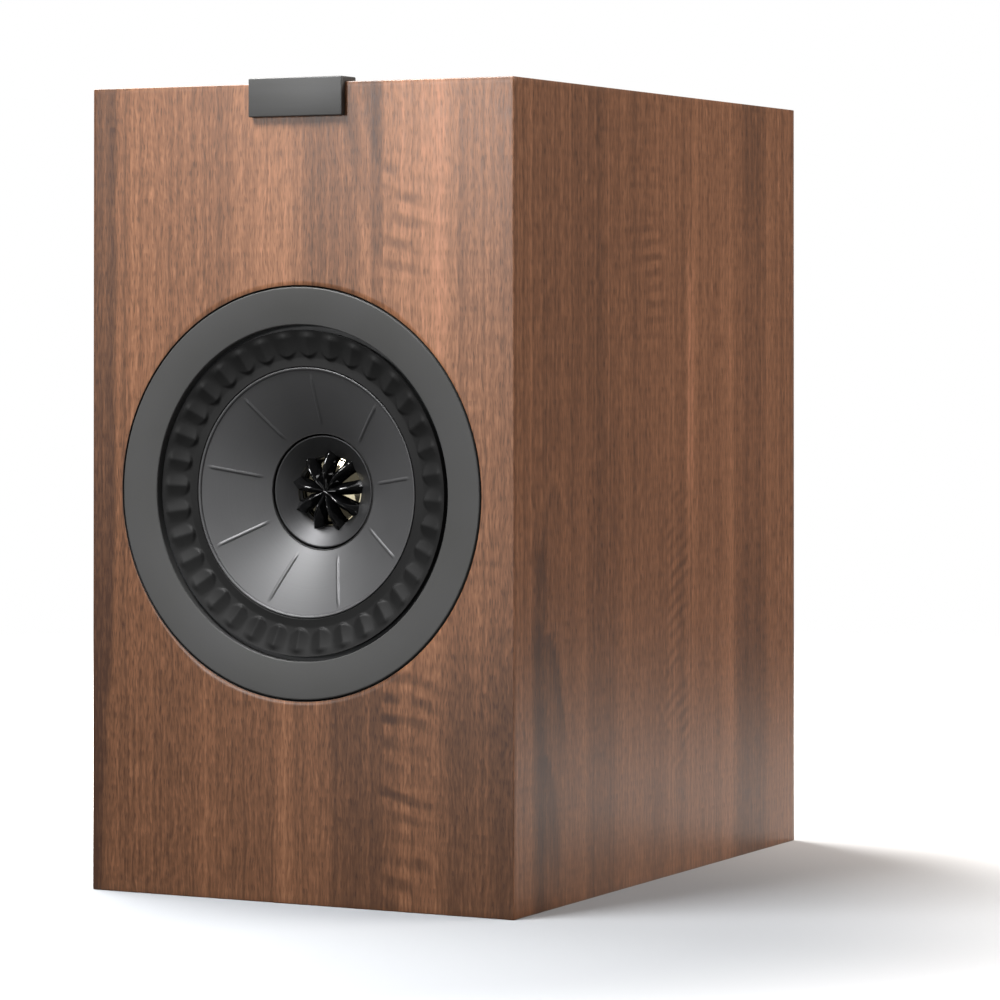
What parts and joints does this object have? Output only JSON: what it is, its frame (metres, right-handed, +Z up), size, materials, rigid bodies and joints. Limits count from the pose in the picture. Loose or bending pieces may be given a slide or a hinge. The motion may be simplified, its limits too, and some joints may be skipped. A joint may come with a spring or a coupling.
{
  "type": "bookshelf speaker",
  "caption": "Two-way rear-ported bookshelf speaker: walnut-grain cabinet, coaxial driver with a tweeter in the bass cone's centre, and screw-down terminals at the rear.",
  "frame": {"origin": "centre of the cabinet's base, on the surface it stands on", "axes": "+X to the right seen from the front, +Y from the front to the rear, +Z up"},
  "size_m": [0.18, 0.2806, 0.305],
  "materials": {
    "walnut_veneer": "satin walnut-grain wrap on fibreboard",
    "rear_board": "black satin wrap on fibreboard",
    "bare_board": "bare fibreboard",
    "foam_rubber": "closed-cell foam",
    "damping_foam": "open-cell foam",
    "trim_plastic": "fine matt texture",
    "pressed_steel": "black powder coat",
    "black_screw": "black oxide",
    "surround_rubber": "matt butyl rubber",
    "cone_metal": "satin dark grey coating on aluminium",
    "former_film": "polyimide film",
    "copper_wire": "enamelled copper",
    "spider_cloth": "resin-treated cloth",
    "zinc_steel": "zinc plated",
    "ferrite": "sintered, matt",
    "phenolic_board": "laminated board",
    "gilt_brass": "gold-plated",
    "copper_braid": "braided copper",
    "horn_plastic": "satin grey lacquer",
    "gloss_black": "polished black",
    "dome_metal": "polished, clear anodised",
    "nickel_magnet": "nickel-plated",
    "stem_metal": "drawn tube",
    "port_plastic": "fine matt texture",
    "terminal_plastic": "fine matt texture",
    "red_plastic": "moulded, glossy",
    "black_knob": "moulded, glossy",
    "circuit_board": "green solder mask",
    "nylon": "natural nylon",
    "capacitor_film": "yellow polyester film",
    "cement": "ceramic cement case",
    "wire_insulation": "PVC insulation, red and black"
  },
  "bodies": {
    "cabinet": {"front_baffle": "walnut_veneer", "left_panel": "walnut_veneer", "right_panel": "walnut_veneer", "top_panel": "walnut_veneer", "bottom_panel": "walnut_veneer", "rear_panel": "rear_board", "window_brace": "bare_board", "motor_pad": "foam_rubber", "foam_lining": "damping_foam", "badge": "trim_plastic", "trim_ring": "trim_plastic", "driver_gasket": "foam_rubber", "driver_chassis": "pressed_steel", "driver_screws": "black_screw", "surround": "surround_rubber", "spider": "spider_cloth", "front_plate": "zinc_steel", "ferrite_magnet": "ferrite", "pole_yoke": "zinc_steel", "driver_tag_strip": "phenolic_board", "driver_tags": "gilt_brass", "tweeter_horn": "horn_plastic", "phase_plug": "gloss_black", "dome_surround": "surround_rubber", "tweeter_pole_plate": "zinc_steel", "tweeter_magnet": "nickel_magnet", "tweeter_yoke": "zinc_steel", "tweeter_stem": "stem_metal", "tweeter_lead_block": "phenolic_board", "port_flare": "port_plastic", "port_tube": "port_plastic", "terminal_plate": "terminal_plastic", "terminal_gasket": "foam_rubber", "terminal_screws": "black_screw", "post_studs": "gilt_brass", "positive_base": "red_plastic", "negative_base": "black_knob", "post_washers": "zinc_steel", "post_nuts": "zinc_steel", "solder_tags": "gilt_brass", "crossover_board": "circuit_board", "crossover_standoffs": "nylon", "crossover_screws": "zinc_steel", "inductors": "copper_wire", "capacitors": "capacitor_film", "resistors": "cement", "input_wires": "wire_insulation", "bass_wires": "wire_insulation", "tweeter_wires": "wire_insulation"},
    "cone": {"bass_cone": "cone_metal", "coil_former": "former_film", "bass_voice_coil": "copper_wire", "tinsel_leads": "copper_braid"},
    "tweeter_diaphragm": {"tweeter_dome": "dome_metal", "tweeter_coil": "copper_wire"},
    "positive_sleeve": {"positive_insert": "gilt_brass"},
    "positive_cap": {"positive_knob": "red_plastic"},
    "negative_sleeve": {"negative_insert": "gilt_brass"},
    "negative_cap": {"negative_knob": "black_knob"}
  },
  "joints": [
    {"name": "bass_cone_travel", "type": "slide", "parent": "cabinet", "child": "cone", "axis": [0, -1, 0], "range_m": [-0.004, 0.004], "stiffness_N_per_m": 1200, "deforming": ["surround", "spider", "tinsel_leads"]},
    {"name": "tweeter_dome_travel", "type": "slide", "parent": "cabinet", "child": "tweeter_diaphragm", "axis": [0, -1, 0], "range_m": [-0.0003, 0.0003], "stiffness_N_per_m": 2000, "deforming": ["dome_surround"]},
    {"name": "positive_knob_travel", "type": "slide", "parent": "cabinet", "child": "positive_sleeve", "axis": [0, 1, 0], "range_m": [0, 0.006]},
    {"name": "positive_knob_turn", "type": "hinge", "parent": "positive_sleeve", "child": "positive_cap", "pos_m": [-0.00953, 0.125, 0.075], "axis": [0, 1, 0], "range_deg": [0, 2160]},
    {"name": "negative_knob_travel", "type": "slide", "parent": "cabinet", "child": "negative_sleeve", "axis": [0, 1, 0], "range_m": [0, 0.006]},
    {"name": "negative_knob_turn", "type": "hinge", "parent": "negative_sleeve", "child": "negative_cap", "pos_m": [0.00953, 0.125, 0.075], "axis": [0, 1, 0], "range_deg": [0, 2160]}
  ],
  "couplings": [
    {"joint": "positive_knob_turn", "follows": "positive_knob_travel", "rad_per_m": 6283.2},
    {"joint": "negative_knob_turn", "follows": "negative_knob_travel", "rad_per_m": 6283.2}
  ]
}
